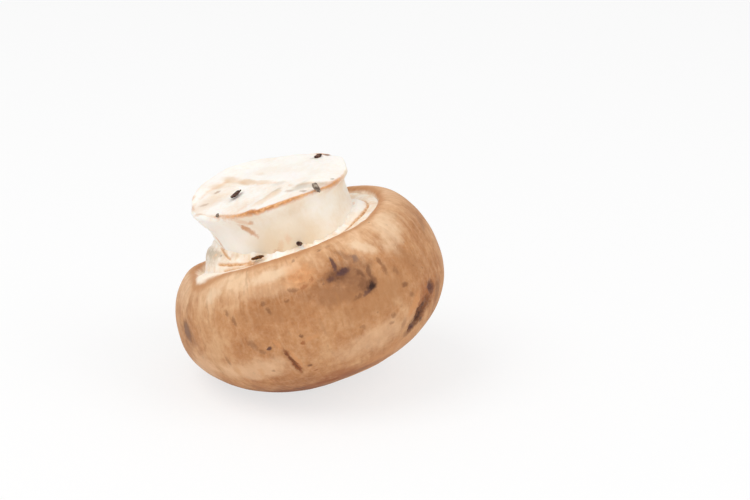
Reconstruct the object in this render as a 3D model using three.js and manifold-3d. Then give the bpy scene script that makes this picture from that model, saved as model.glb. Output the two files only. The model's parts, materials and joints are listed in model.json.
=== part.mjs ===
// A cremini mushroom as picked: it lies upside down on the crown of its cap, with the cut end of its stem up.
// Millimetres, +Z up. The origin is the centre of the bounding box's bottom face, on the resting surface.
//
// Each piece is made in the cap's own frame: the origin at the middle of the cap's widest section, +Z from the crown
// to the stem. One group then leans that frame over and sets the pressed crown down on Z = 0.
import * as THREE from "three";
import { mergeVertices } from "three/addons/utils/BufferGeometryUtils.js";
import Module from "manifold-3d";

const wasm = await Module();
wasm.setup();

const DEGREE = Math.PI / 180;

// How the mushroom lies
const LEAN_LEFT = 20.5 * DEGREE; // cap axis towards -X
const LEAN_BACK = 4 * DEGREE; // cap axis towards +Y
const PRESSED = 1.3; // how much of the crown is flattened where it rests

// Cap. Heights are above its widest section.
const CAP_RADIUS = 25;
const CROWN_DEPTH = 16.6; // from the widest section down to the crown
const UPRIGHT_SIDE = 4.6; // how far the side stays upright before it rounds over
const SHOULDER_RADIUS = 20.4; // where the side has rounded over towards the stem
const SHOULDER_HEIGHT = 11.1;
const SHOULDER_SLOPE = 0.55; // rise over run there
const MARGIN_RADIUS = 17.3; // the curled edge where the skin ends
const MARGIN_HEIGHT = 10.8;
const GROOVE_FLOOR = 8.9; // underside of the cap inside the margin
const MARGIN_LIFT = 1.2; // the margin is higher by this at the right, and lower by it at the left
const MARGIN_WAVE = 1.3; // and going round it also rises twice and dips twice by this
const FRONT_RISE = 0.9; // and it swells up by this at the front
const FRONT_AZIMUTH = -72 * DEGREE;
const FRONT_SPREAD = 42 * DEGREE;
const BACK_DIP = 0.5; // and dips by this at the back
const BACK_AZIMUTH = 50 * DEGREE;
const BACK_SPREAD = 40 * DEGREE;
const RIGHT_SAG = 1.5; // the widest section hangs lower by this at the right
const OUT_OF_ROUND = 0.012; // share of the radius

// Stem
const STEM_OFFSET = 0.5; // its axis stands this far to the right of the cap's
const STEM_FOOT = 3.8; // height of the foot inside the cap
const CUT_HEIGHT = 21.7; // middle of the cut face
const STEM_RADIUS = 12.9; // at the waist
const CUT_RADIUS = 14.4; // at the flared cut end
const CUT_FALL_RIGHT = 5.5 * DEGREE; // the cut face falls towards +X
const CUT_FALL_FRONT = 3.5 * DEGREE; // and towards -Y
const CUT_TWIST = 0.5; // and its edge rises twice and dips twice by this much

// Veil
const VEIL_INNER_RADIUS = STEM_RADIUS - 2; // before the stem is cut out of it
const VEIL_EDGE = 1.6; // thickness at the margin
const VEIL_RISE = 1.7; // how far it climbs the stem, less at the front, where only the margin swells up
const TENT_RISE = 3.6; // how much further it climbs on the left, where it is still stretched
const TENT_AZIMUTH = 185 * DEGREE;
const TENT_SPREAD = 36 * DEGREE;
const TENT_BELLY = 1.1; // how far it bellies out half way up

const GAP = 0.3; // between neighbouring pieces
const CRUMB_GAP = 0.12; // between a crumb and what it sticks to

const SKIN = new THREE.MeshStandardMaterial({ color: 0xc6936a, roughness: 0.62, metalness: 0 });
const FLESH = new THREE.MeshStandardMaterial({ color: 0xf3e9dc, roughness: 0.7, metalness: 0 });
const MEMBRANE = new THREE.MeshStandardMaterial({ color: 0xf5e6d2, roughness: 0.8, metalness: 0 });
const PEAT = new THREE.MeshStandardMaterial({ color: 0x3a241c, roughness: 0.95, metalness: 0 });

// Calls change(point) for each vertex and stores the point that it leaves.
function moveVertices(geometry, change) {
  const position = geometry.getAttribute("position");
  const point = new THREE.Vector3();
  for (let i = 0; i < position.count; i++) {
    point.fromBufferAttribute(position, i);
    change(point);
    position.setXYZ(i, point.x, point.y, point.z);
  }
  return geometry;
}

// The same surface with only its position left, and the vertices that triangles share merged.
function merged(geometry) {
  geometry.deleteAttribute("normal");
  geometry.deleteAttribute("uv");
  return mergeVertices(geometry, 1e-4);
}

// A solid of revolution about Z from an outline of radius and height.
function turned(outline, segments) {
  return merged(new THREE.LatheGeometry(outline, segments).rotateX(Math.PI / 2));
}

function toSolid(geometry) {
  return new wasm.Manifold(
    new wasm.Mesh({
      numProp: 3,
      vertProperties: new Float32Array(geometry.getAttribute("position").array),
      triVerts: new Uint32Array(geometry.index.array),
    }),
  );
}

function toGeometry(solid) {
  const mesh = solid.getMesh();
  const geometry = new THREE.BufferGeometry()
    .setAttribute("position", new THREE.BufferAttribute(mesh.vertProperties, 3))
    .setIndex(new THREE.BufferAttribute(mesh.triVerts, 1));
  geometry.computeVertexNormals();
  return geometry;
}

// 0 at or below low, 1 at or above high, smooth between.
function ease(value, low, high) {
  return THREE.MathUtils.smoothstep(value, low, high);
}

// How much of a swelling there is at an azimuth: 1 at its middle, falling smoothly to nothing.
function swelling(azimuth, middle, spread) {
  const away = Math.atan2(Math.sin(azimuth - middle), Math.cos(azimuth - middle));
  return Math.exp(-((away / spread) ** 2));
}

// What growth does to the cap and veil: the plan is a little out of round, the margin lifts and waves, and the right
// side sags.
function grow(point) {
  const azimuth = Math.atan2(point.y, point.x);
  const radius = Math.hypot(point.x, point.y);
  const above = ease(point.z, 0, GROOVE_FLOOR);
  const rise = FRONT_RISE * swelling(azimuth, FRONT_AZIMUTH, FRONT_SPREAD);
  const dip = BACK_DIP * swelling(azimuth, BACK_AZIMUTH, BACK_SPREAD);
  const lift = MARGIN_LIFT * Math.cos(azimuth) + MARGIN_WAVE * Math.sin(2 * azimuth) + rise - dip;
  const sag = RIGHT_SAG * Math.max(0, Math.cos(azimuth)) ** 2;
  const swell = 1 + OUT_OF_ROUND * (Math.cos(2 * azimuth + 0.5) + 0.7 * Math.cos(3 * azimuth - 1.1));
  point.x *= swell;
  point.y *= swell;
  point.z += lift * above * ease(radius, 0, VEIL_INNER_RADIUS);
  point.z -= sag * (1 - above) * ease(radius, CAP_RADIUS / 3, CAP_RADIUS);
}

// The ground, as a block in the cap's frame: the leaning crown reaches this far below its top face.
function groundBlock(capGeometry, lean) {
  const leaning = capGeometry.clone().applyMatrix4(lean);
  leaning.computeBoundingBox();
  const depth = CAP_RADIUS;
  const block = new THREE.BoxGeometry(CAP_RADIUS * 4, CAP_RADIUS * 4, depth);
  block.translate(0, 0, leaning.boundingBox.min.z + PRESSED - depth / 2);
  block.applyMatrix4(lean.clone().invert());
  return toSolid(merged(block));
}

// Cap: an elliptical crown up to the widest section, a shoulder that rolls in to the margin, and a groove inside it.
function capBlank() {
  const outline = new THREE.Path();
  outline.absellipse(0, 0, CAP_RADIUS, CROWN_DEPTH, -Math.PI / 2, 0, false);
  const handleIn = [SHOULDER_RADIUS + 3, SHOULDER_HEIGHT - 3 * SHOULDER_SLOPE];
  const handleOut = [SHOULDER_RADIUS - 1.3, SHOULDER_HEIGHT + 1.3 * SHOULDER_SLOPE];
  outline.bezierCurveTo(CAP_RADIUS, UPRIGHT_SIDE, ...handleIn, SHOULDER_RADIUS, SHOULDER_HEIGHT);
  outline.bezierCurveTo(...handleOut, MARGIN_RADIUS + 0.6, MARGIN_HEIGHT + 0.9, MARGIN_RADIUS, MARGIN_HEIGHT);
  const points = outline.getPoints(8);
  points[0].x = 0;
  points.push(new THREE.Vector2(MARGIN_RADIUS - GAP, GROOVE_FLOOR));
  points.push(new THREE.Vector2(VEIL_INNER_RADIUS, GROOVE_FLOOR));
  points.push(new THREE.Vector2(0, GROOVE_FLOOR));
  return moveVertices(turned(points, 64), grow);
}

// Stem: a waisted solid of revolution, cut across at a slant. margin widens it and lowers its foot, for the room that
// its neighbours leave around it.
function stemBlank(margin) {
  const length = CUT_HEIGHT - STEM_FOOT;
  const side = new THREE.SplineCurve([
    new THREE.Vector2(STEM_RADIUS, 0),
    new THREE.Vector2(STEM_RADIUS + 0.2, length * 0.4),
    new THREE.Vector2(STEM_RADIUS, length * 0.72),
    new THREE.Vector2(STEM_RADIUS + 0.5, length * 0.87),
    new THREE.Vector2(CUT_RADIUS, length - 0.6),
    new THREE.Vector2(CUT_RADIUS - 0.3, length),
  ]);
  const face = [0.75, 0.5, 0.25, 0].map((share) => new THREE.Vector2(CUT_RADIUS * share, length));
  const outline = [new THREE.Vector2(0, 0), ...side.getPoints(14), ...face];
  return moveVertices(turned(outline, 56), (point) => {
    const reach = Math.hypot(point.x, point.y);
    const widen = reach > 0 ? 1 + margin / reach : 1;
    const slant = ease(point.z, length * 0.6, length);
    const twist = (2 * CUT_TWIST * point.x * point.y) / CUT_RADIUS ** 2;
    const fall = Math.tan(CUT_FALL_RIGHT) * point.x - Math.tan(CUT_FALL_FRONT) * point.y + twist;
    const foot = point.z === 0 ? margin : 0;
    point.set(point.x * widen + STEM_OFFSET, point.y * widen, STEM_FOOT + point.z - foot - slant * fall);
  });
}

// Veil: a ring that fills the groove, climbs the stem and is drawn up into a tent on the left.
function veilBlank() {
  const floor = GROOVE_FLOOR + GAP;
  const edge = MARGIN_RADIUS - 2 * GAP;
  const outline = new THREE.Path();
  outline.moveTo(VEIL_INNER_RADIUS, floor);
  outline.lineTo(edge, floor);
  outline.lineTo(edge, floor + VEIL_EDGE);
  outline.quadraticCurveTo(STEM_RADIUS + 1.2, floor + VEIL_EDGE, STEM_RADIUS, floor + VEIL_EDGE + VEIL_RISE);
  outline.lineTo(VEIL_INNER_RADIUS, floor + VEIL_EDGE + VEIL_RISE + 0.5);
  const points = outline.getPoints(5);
  points.push(points[0].clone());
  const geometry = turned(points, 64);
  return moveVertices(geometry, (point) => {
    const azimuth = Math.atan2(point.y, point.x);
    const slope = ease(-Math.hypot(point.x, point.y), -edge, -STEM_RADIUS);
    const top = ease(point.z, floor, floor + VEIL_EDGE);
    const tent = TENT_RISE * slope + TENT_BELLY * 4 * slope * (1 - slope);
    const flat = FRONT_RISE * swelling(azimuth, FRONT_AZIMUTH, FRONT_SPREAD) * slope;
    grow(point);
    point.z += top * (tent * swelling(azimuth, TENT_AZIMUTH, TENT_SPREAD) - flat);
  });
}

// A crumb of peat: a faceted lump of length by width by height, a little irregular.
function crumbGeometry(length, width, height) {
  const geometry = merged(new THREE.IcosahedronGeometry(0.5, 1));
  moveVertices(geometry, (point) => {
    const dent = 1 - 0.1 * Math.sin(9 * point.x + 4 * point.y) * Math.cos(7 * point.z - 3 * point.y);
    point.multiplyScalar(dent);
    point.set(point.x * length, point.y * width, point.z * height);
  });
  geometry.computeVertexNormals();
  return geometry;
}

// Crumbs, each by where it sticks: x and y in the cap's frame, length, width, height, and the heading of its length.
const CRUMBS = [
  { on: "stem", x: -5.4, y: -3.4, size: [3.3, 0.8, 0.6], heading: 58 },
  { on: "stem", x: 9.6, y: 8.4, size: [1.5, 0.9, 0.7], heading: 20 },
  { on: "stem", x: 9.2, y: -11.3, size: [1.4, 1.1, 0.7], heading: -51 },
  { on: "stem", x: -8.4, y: -11.0, size: [0.7, 0.6, 0.5], heading: 0 },
  { on: "veil", x: 3.3, y: -13.15, size: [1.3, 0.9, 0.7], heading: -15 },
  { on: "veil", x: -4.5, y: -13.3, size: [2.4, 0.7, 0.6], heading: -8 },
];

// Sets a crumb down on its host: a ray finds the surface, and the crumb lies flat on the face that it meets.
function placeCrumb(crumb, host, name) {
  const above = new THREE.Vector3(crumb.x, crumb.y, CAP_RADIUS * 2);
  const [hit] = new THREE.Raycaster(above, new THREE.Vector3(0, 0, -1)).intersectObject(host);
  const mesh = new THREE.Mesh(crumbGeometry(...crumb.size), PEAT);
  const flat = new THREE.Quaternion().setFromUnitVectors(new THREE.Vector3(0, 0, 1), hit.face.normal);
  const spin = new THREE.Quaternion().setFromAxisAngle(new THREE.Vector3(0, 0, 1), crumb.heading * DEGREE);
  mesh.quaternion.copy(flat).multiply(spin);
  mesh.position.copy(hit.point).addScaledVector(hit.face.normal, crumb.size[2] / 2 + CRUMB_GAP);
  mesh.name = name;
  return mesh;
}

const leaning = new THREE.Group();
leaning.rotation.set(-LEAN_BACK, -LEAN_LEFT, 0);
leaning.updateMatrix();

const capGeometry = capBlank();
const ground = groundBlock(capGeometry, leaning.matrix);
const stemRoom = toSolid(stemBlank(GAP));

const cap = new THREE.Mesh(toGeometry(toSolid(capGeometry).subtract(ground).subtract(stemRoom)), SKIN);
cap.name = "cap";
const veil = new THREE.Mesh(toGeometry(toSolid(veilBlank()).subtract(stemRoom)), MEMBRANE);
veil.name = "veil";
const stem = new THREE.Mesh(toGeometry(toSolid(stemBlank(0))), FLESH);
stem.name = "stem";

const hosts = { stem, veil };
const crumbs = CRUMBS.map((crumb, i) => placeCrumb(crumb, hosts[crumb.on], `peat_crumb_${i + 1}`));
leaning.add(cap, veil, stem, ...crumbs);

const mushroom = new THREE.Group();
mushroom.name = "cremini_mushroom";
mushroom.add(leaning);

// The origin goes to the middle of the bounding box's bottom face.
const bounds = new THREE.Box3().setFromObject(mushroom, true);
const middle = bounds.getCenter(new THREE.Vector3());
leaning.position.set(-middle.x, -middle.y, -bounds.min.z);

export default mushroom;
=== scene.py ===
"""A cremini mushroom as picked, lying upside down on its cap: the looks of each piece, and the stage around it."""

import json
import logging
import math
from collections.abc import Callable, Iterator
from contextlib import contextmanager
from dataclasses import dataclass, field
from enum import Enum
from functools import partialmethod
from itertools import accumulate

import bmesh
import bpy
from mathutils import Matrix, Vector, noise
from mathutils.bvhtree import BVHTree
from mathutils.kdtree import KDTree

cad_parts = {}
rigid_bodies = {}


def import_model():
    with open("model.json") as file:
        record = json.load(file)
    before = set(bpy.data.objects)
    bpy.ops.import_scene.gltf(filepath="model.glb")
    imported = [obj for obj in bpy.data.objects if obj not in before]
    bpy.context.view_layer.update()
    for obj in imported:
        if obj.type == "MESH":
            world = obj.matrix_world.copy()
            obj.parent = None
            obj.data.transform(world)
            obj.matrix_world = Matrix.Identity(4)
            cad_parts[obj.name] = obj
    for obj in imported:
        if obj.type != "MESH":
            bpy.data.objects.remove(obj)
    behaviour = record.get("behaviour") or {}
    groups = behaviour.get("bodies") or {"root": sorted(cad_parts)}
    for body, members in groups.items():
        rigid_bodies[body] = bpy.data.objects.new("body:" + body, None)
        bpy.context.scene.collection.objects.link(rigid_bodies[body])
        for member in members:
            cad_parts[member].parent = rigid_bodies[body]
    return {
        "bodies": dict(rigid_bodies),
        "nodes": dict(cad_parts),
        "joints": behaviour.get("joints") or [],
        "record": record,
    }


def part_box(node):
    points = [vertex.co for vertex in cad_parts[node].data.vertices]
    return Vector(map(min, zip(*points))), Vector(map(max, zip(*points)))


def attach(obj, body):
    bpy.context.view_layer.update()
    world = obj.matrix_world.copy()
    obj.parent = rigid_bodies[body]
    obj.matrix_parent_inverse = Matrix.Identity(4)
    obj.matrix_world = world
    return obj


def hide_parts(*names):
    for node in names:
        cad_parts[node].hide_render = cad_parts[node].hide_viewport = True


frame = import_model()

log = logging.getLogger("mushroom")

MM = 0.001
TURN = 2 * math.pi
AXIS = Vector((0, 0, 1))
Colour = tuple[float, float, float, float]
Outline = list[tuple[float, float]]


# --- Sums ---


def ease(value: float, low: float, high: float) -> float:
    """Rises smoothly from 0 at low to 1 at high.

    Args:
        value: where to read it.
        low: where it leaves 0.
        high: where it reaches 1.

    Returns:
        The share, from 0 to 1.
    """
    share = min(max((value - low) / (high - low), 0), 1)
    return share * share * (3 - 2 * share)


def hump(value: float, middle: float, width: float) -> float:
    """Returns 1 in the middle, falling smoothly to nothing over about twice the width on both sides."""
    return math.exp(-(((value - middle) / width) ** 2))


def azimuth_of(point: Vector) -> float:
    """Returns the direction of a point around the cap's axis, in radians from +X."""
    return math.atan2(point.y, point.x)


def swelling(angle: float, centre: float, spread: float) -> float:
    """A smooth hump around a circle.

    Args:
        angle: where to read it, in radians.
        centre: azimuth of its top, in degrees.
        spread: half its width, in degrees.

    Returns:
        1 at its top, falling to nothing on both sides.
    """
    away = angle - math.radians(centre)
    away = math.atan2(math.sin(away), math.cos(away))
    return hump(away, 0, math.radians(spread))


def swellings(angle: float, *rows: tuple[float, float, float]) -> float:
    """Sums swellings, each given as its centre and spread in degrees and its amount."""
    return sum(amount * swelling(angle, centre, spread) for centre, spread, amount in rows)


def outward(azimuth: float) -> Vector:
    """Returns the level direction of an azimuth in radians."""
    return Vector((math.cos(azimuth), math.sin(azimuth), 0))


def wander(point: Vector, size: float, seed: float = 0) -> float:
    """Smooth noise of about -1 to 1.

    Args:
        point: where to read it, in mm.
        size: width of its lumps, in mm.
        seed: shifts the pattern.

    Returns:
        The noise there.
    """
    return noise.noise(point / size + Vector((seed, -2 * seed, 3 * seed)))


def bezier(points: Outline, steps: int) -> Outline:
    """Samples a cubic curve.

    Args:
        points: start, two handles and end, as radius and height.
        steps: how many stretches.

    Returns:
        The points after the start.
    """
    start, out, back, end = (Vector(point) for point in points)
    curve = []
    for step in range(1, steps + 1):
        t = step / steps
        s = 1 - t
        at = start * s**3 + out * (3 * s * s * t) + back * (3 * s * t * t) + end * t**3
        curve.append((at.x, at.y))
    return curve


def straight(start: tuple[float, float], end: tuple[float, float], steps: int) -> Outline:
    """Returns the points after the start of a straight stretch in equal steps."""
    return [
        (start[0] + (end[0] - start[0]) * step / steps, start[1] + (end[1] - start[1]) * step / steps)
        for step in range(1, steps + 1)
    ]


def tone(code: str) -> Colour:
    """Returns the linear colour of an sRGB hex code such as "#C4926A"."""
    shares = [int(code[i : i + 2], 16) / 255 for i in (1, 3, 5)]
    linear = [share / 12.92 if share <= 0.04045 else ((share + 0.055) / 1.055) ** 2.4 for share in shares]
    return (*linear, 1.0)


# --- The frame that the pieces share ---


@dataclass
class Lie:
    """How the mushroom lies. Pieces are modelled in the cap's own frame, in mm, and this sets them down."""

    lean_left: float = 20.5
    lean_back: float = 4.0
    aside: float = -0.24
    ahead: float = 0.17
    height: float = 16.63
    down: Matrix = field(init=False)
    up: Matrix = field(init=False)

    def __post_init__(self) -> None:
        """Works out the matrix from the cap's own frame in mm to the row's frame in metres, and the way back."""
        low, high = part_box("cap")
        middle = (low + high) / 2
        place = Vector((middle.x + self.aside * MM, middle.y + self.ahead * MM, low.z + self.height * MM))
        back = Matrix.Rotation(-math.radians(self.lean_back), 4, "X")
        left = Matrix.Rotation(-math.radians(self.lean_left), 4, "Y")
        self.down = Matrix.Translation(place) @ back @ left @ Matrix.Scale(MM, 4)
        self.up = self.down.inverted()


@dataclass(frozen=True)
class Growth:
    """What growth does to the cap and veil. Sizes in mm, heights above the cap's widest section."""

    cap_radius: float = 25.0
    crown_depth: float = 16.6
    upright_side: float = 4.6
    shoulder: tuple[float, float] = (20.4, 11.1)
    shoulder_slope: float = 0.55
    margin: tuple[float, float] = (17.3, 10.8)
    groove_floor: float = 8.9
    margin_lift: float = 1.2
    margin_wave: float = 1.3
    front_rise: float = 0.9
    front_azimuth: float = -72.0
    front_spread: float = 42.0
    back_dip: float = 1.5
    back_azimuth: float = 28.0
    back_spread: float = 38.0
    right_sag: float = 1.5
    out_of_round: float = 0.012
    lifted_from: float = 10.9

    def rise(self, azimuth: float) -> float:
        """Returns how far the margin swells up at the front."""
        return self.front_rise * swelling(azimuth, self.front_azimuth, self.front_spread)

    def lift(self, azimuth: float) -> float:
        """Returns how much higher the margin is than the mean at an azimuth."""
        wave = self.margin_lift * math.cos(azimuth) + self.margin_wave * math.sin(2 * azimuth)
        return wave + self.rise(azimuth) - self.back_dip * swelling(azimuth, self.back_azimuth, self.back_spread)

    def grown(self, point: Vector) -> Vector:
        """Returns where a point of the true solid of revolution has grown to."""
        azimuth = azimuth_of(point)
        radius = math.hypot(point.x, point.y)
        above = ease(point.z, 0, self.groove_floor)
        sag = self.right_sag * max(0, math.cos(azimuth)) ** 2
        swell = 1 + self.out_of_round * (math.cos(2 * azimuth + 0.5) + 0.7 * math.cos(3 * azimuth - 1.1))
        height = point.z + self.lift(azimuth) * above * ease(radius, 0, self.lifted_from)
        height -= sag * (1 - above) * ease(radius, self.cap_radius / 3, self.cap_radius)
        return Vector((point.x * swell, point.y * swell, height))


# --- Modelling ---


def select_only(piece: bpy.types.Object) -> None:
    """Makes a piece the only selected one, and the active one."""
    bpy.ops.object.select_all(action="DESELECT")
    piece.select_set(True)
    bpy.context.view_layer.objects.active = piece


@contextmanager
def editing(piece: bpy.types.Object) -> Iterator[None]:
    """Holds a piece in edit mode, alone in the selection."""
    select_only(piece)
    bpy.ops.object.mode_set(mode="EDIT")
    yield
    bpy.ops.object.mode_set(mode="OBJECT")


def spun(name: str, outline: Outline, segments: int, closed: bool = False) -> bpy.types.Object:
    """Extrudes an outline point by point and spins it round the cap's axis.

    Args:
        name: the piece's name.
        outline: radius and height of each point, in mm.
        segments: steps of the spin.
        closed: whether the outline closes on itself, as a ring's does.

    Returns:
        The piece, one closed surface with its faces outwards.
    """
    points = [Vector((radius, 0, height)) for radius, height in outline]
    bpy.ops.object.select_all(action="DESELECT")
    bpy.ops.mesh.primitive_plane_add(size=1, location=(0, 0, 0))
    piece = bpy.context.object
    piece.name = piece.data.name = name
    with editing(piece):
        bpy.ops.mesh.select_all(action="SELECT")
        bpy.ops.mesh.merge(type="CENTER")
        bpy.ops.transform.translate(value=points[0])
        for here, there in zip(points, points[1:]):
            bpy.ops.mesh.extrude_vertices_move(TRANSFORM_OT_translate={"value": there - here})
        if closed:
            bpy.ops.mesh.extrude_vertices_move(TRANSFORM_OT_translate={"value": points[0] - points[-1]})
        bpy.ops.mesh.select_all(action="SELECT")
        bpy.ops.mesh.spin(steps=segments, angle=TURN, center=(0, 0, 0), axis=AXIS)
        bpy.ops.mesh.select_all(action="SELECT")
        bpy.ops.mesh.remove_doubles(threshold=0.002)
        bpy.ops.mesh.normals_make_consistent(inside=False)
    return piece


def refined(piece: bpy.types.Object, wanted: Callable[[Vector], bool]) -> None:
    """Halves the faces whose middle is wanted.

    Args:
        piece: the mesh, which is changed.
        wanted: whether a face with its middle at this point is halved.
    """
    with editing(piece):
        mesh = bmesh.from_edit_mesh(piece.data)
        bpy.ops.mesh.select_all(action="DESELECT")
        for face in mesh.faces:
            face.select = wanted(face.calc_center_median())
        mesh.select_flush_mode()
        bmesh.update_edit_mesh(piece.data)
        bpy.ops.mesh.subdivide(number_cuts=1)


def moved(piece: bpy.types.Object, change: Callable[[Vector, Vector], Vector]) -> None:
    """Moves each vertex as a sculptor would.

    Args:
        piece: the mesh, which is changed.
        change: gives the new place from the old one and the normal there.
    """
    vertices = piece.data.vertices
    normals = [vertex.normal.copy() for vertex in vertices]
    for vertex, normal in zip(vertices, normals):
        vertex.co = change(vertex.co.copy(), normal)
    piece.data.update()


def marked(piece: bpy.types.Object, name: str, value: Callable[[Vector], Vector]) -> None:
    """Writes a vector to each vertex, for a material to read.

    Args:
        piece: the mesh, which is changed.
        name: the attribute's name.
        value: gives the vector at a vertex's place.
    """
    layer = piece.data.attributes.new(name, "FLOAT_VECTOR", "POINT")
    for vertex, cell in zip(piece.data.vertices, layer.data):
        cell.vector = value(vertex.co)


def set_down(piece: bpy.types.Object, lie: Lie, material: bpy.types.Material, slot: str, *nodes: str) -> None:
    """Finishes a piece: smooth, dressed, at its place in the row's frame, riding on the root body.

    Args:
        piece: the piece, in the cap's own frame in mm.
        lie: how the mushroom lies.
        material: its finish.
        slot: the record's material slot; not used.
        nodes: the CAD nodes that it stands for.
    """
    piece.matrix_world = lie.down @ piece.matrix_world
    select_only(piece)
    bpy.ops.object.transform_apply(location=True, rotation=True, scale=True)
    bpy.ops.object.shade_smooth()
    piece.data.materials.clear()
    piece.data.materials.append(material)
    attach(piece, "root")
    if nodes:
        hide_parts(*nodes)
    log.info("%s: %d faces", piece.name, len(piece.data.polygons))


# --- Marks on the surface ---


class Stain(Enum):
    """The colour of a mark: of real staining, and also of painted sheen and painted shade."""

    SOOT = "#33201D"
    PEAT = "#54393A"
    UMBER = "#6E4630"
    BRUISE = "#8F6243"
    RUSSET = "#9A5A34"
    TAN = "#AE7A50"
    GREY = "#8C6D5C"
    RUST = "#CF9464"
    BUFF = "#E0A878"
    OAT = "#E2C09A"
    SAND = "#F0C9A2"
    PALE = "#F0D2B0"
    OLIVE = "#A89A80"


SOOT, PEAT, UMBER, BRUISE, RUSSET, TAN, GREY, RUST, BUFF, OAT, SAND, PALE, OLIVE = Stain


class Spot(Enum):
    """How the place of a mark is given."""

    SIDE = "azimuth in degrees and height in mm"
    CUT = "x and y in mm on the cut face"


FAR = 60.0  # mm, outside every piece
MARK_REACH = 3.0  # mm off the surface to which a mark's relief is felt
MARK_DEPTH = {Spot.SIDE: 8.0, Spot.CUT: 2.4}  # mm, how thick the layer of its colour is
BROAD_MARK = 5.0  # length times width, in mm2, above which an edge wanders broadly


@dataclass(frozen=True)
class Mark:
    """A bruise, scratch, scab, smear, painted sheen or painted shade, by its place, its length and width in mm and its
    heading in degrees.
    """

    spot: Spot
    tint: Stain
    place: tuple[float, float]
    length: float
    width: float
    heading: float
    strength: float
    soft: float = 1.0
    relief: float = 0.0
    rough: float = 0.0

    def matrix(self, surface: BVHTree) -> Matrix:
        """Returns the mark's frame: X along its length and Z out of the surface, in the cap's own frame."""
        if self.spot is Spot.CUT:
            out, east = AXIS, Vector((1, 0, 0))
            start = Vector((*self.place, FAR))
        else:
            azimuth = math.radians(self.place[0])
            out = outward(azimuth)
            east = AXIS.cross(out)
            start = out * FAR + AXIS * self.place[1]
        middle, normal, *_ = surface.ray_cast(start, -out)
        east = (east - normal * east.dot(normal)).normalized()
        north = normal.cross(east)
        turn = math.radians(self.heading)
        along = east * math.cos(turn) + north * math.sin(turn)
        return Matrix.Translation(middle) @ Matrix((along, normal.cross(along), normal)).transposed().to_4x4()

    def distance(self, local: Vector) -> float:
        """Returns how far out a point of the mark's frame is: 0 in the middle, 1 at its edge."""
        return math.hypot(2 * local.x / self.length, 2 * local.y / self.width)


def marks_from(spot: Spot, *rows: tuple) -> list[Mark]:
    """Makes marks from rows of tint, place, length, width, heading, strength, softness, relief and roughness."""
    return [Mark(spot, *row) for row in rows]


@dataclass
class Marks:
    """The marks on one piece, each with its frame on the surface."""

    marks: list[Mark]
    surface: BVHTree
    frames: list[Matrix] = field(init=False)
    raised: list[tuple[Mark, Matrix]] = field(init=False)

    def __post_init__(self) -> None:
        """Finds the frame of each mark, and keeps the way into it of those that have relief."""
        self.frames = [mark.matrix(self.surface) for mark in self.marks]
        pairs = zip(self.marks, self.frames)
        self.raised = [(mark, frame.inverted()) for mark, frame in pairs if mark.relief or mark.rough]

    def near(self, point: Vector, reach: float) -> bool:
        """Tells whether a point lies within reach of a mark with relief, 1 being the mark's edge."""
        for mark, inside in self.raised:
            local = inside @ point
            if abs(local.z) < MARK_REACH and mark.distance(local) < reach:
                return True
        return False

    def worn(self, point: Vector, normal: Vector) -> Vector:
        """Returns a point after the marks have raised, sunk or roughened the surface there."""
        height = 0.0
        for mark, inside in self.raised:
            local = inside @ point
            if abs(local.z) > MARK_REACH:
                continue
            share = 1 - ease(mark.distance(local) + 0.3 * wander(point, 0.9, 5), 0.5, 1.1)
            height += share * (mark.relief + mark.rough * wander(point, 0.7, 7))
        return point + normal * height


def from_line(point: Vector, line: Outline) -> float:
    """Measures how far a point is from a line of straight stretches, seen from above.

    Args:
        point: the point.
        line: x and y of the line's points.

    Returns:
        The distance, positive on the line's left.
    """
    best, side = math.inf, 1.0
    flat = point.to_2d()
    for start, end in zip(line, line[1:]):
        first, run = Vector(start), Vector(end) - Vector(start)
        share = min(max((flat - first).dot(run) / run.length_squared, 0), 1)
        away = flat - (first + run * share)
        if away.length < best:
            best, side = away.length, 1.0 if run.x * away.y - run.y * away.x > 0 else -1.0
    return best * side


def surface_of(piece: bpy.types.Object) -> BVHTree:
    """Returns a tree that finds points on a piece's surface, in its own coordinates."""
    corners = [vertex.co for vertex in piece.data.vertices]
    return BVHTree.FromPolygons(corners, [tuple(face.vertices) for face in piece.data.polygons])


# --- Shader maths ---


class Value:
    """A number or vector that varies over a surface. Sums on it add their nodes."""

    def __init__(self, nodes: "Nodes", socket: bpy.types.NodeSocket) -> None:
        """Wraps a socket of a node tree."""
        self.nodes = nodes
        self.socket = socket

    def worked(self, operation: str, other: "Value | float") -> "Value":
        """Returns the result of a Math node on this value and another."""
        return self.nodes.result("ShaderNodeMath", {"operation": operation}, {0: self, 1: other})

    __add__ = partialmethod(worked, "ADD")
    __sub__ = partialmethod(worked, "SUBTRACT")
    __mul__ = partialmethod(worked, "MULTIPLY")
    __or__ = partialmethod(worked, "MAXIMUM")

    def over(self, low: float, high: float) -> "Value":
        """Returns a mask that rises smoothly from 0 at low to 1 at high."""
        rises = low < high
        limits = {"From Min": min(low, high), "From Max": max(low, high)}
        inputs = {"Value": self, **limits, "To Min": float(not rises), "To Max": float(rises)}
        return self.nodes.result("ShaderNodeMapRange", {"interpolation_type": "SMOOTHSTEP"}, inputs)


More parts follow.
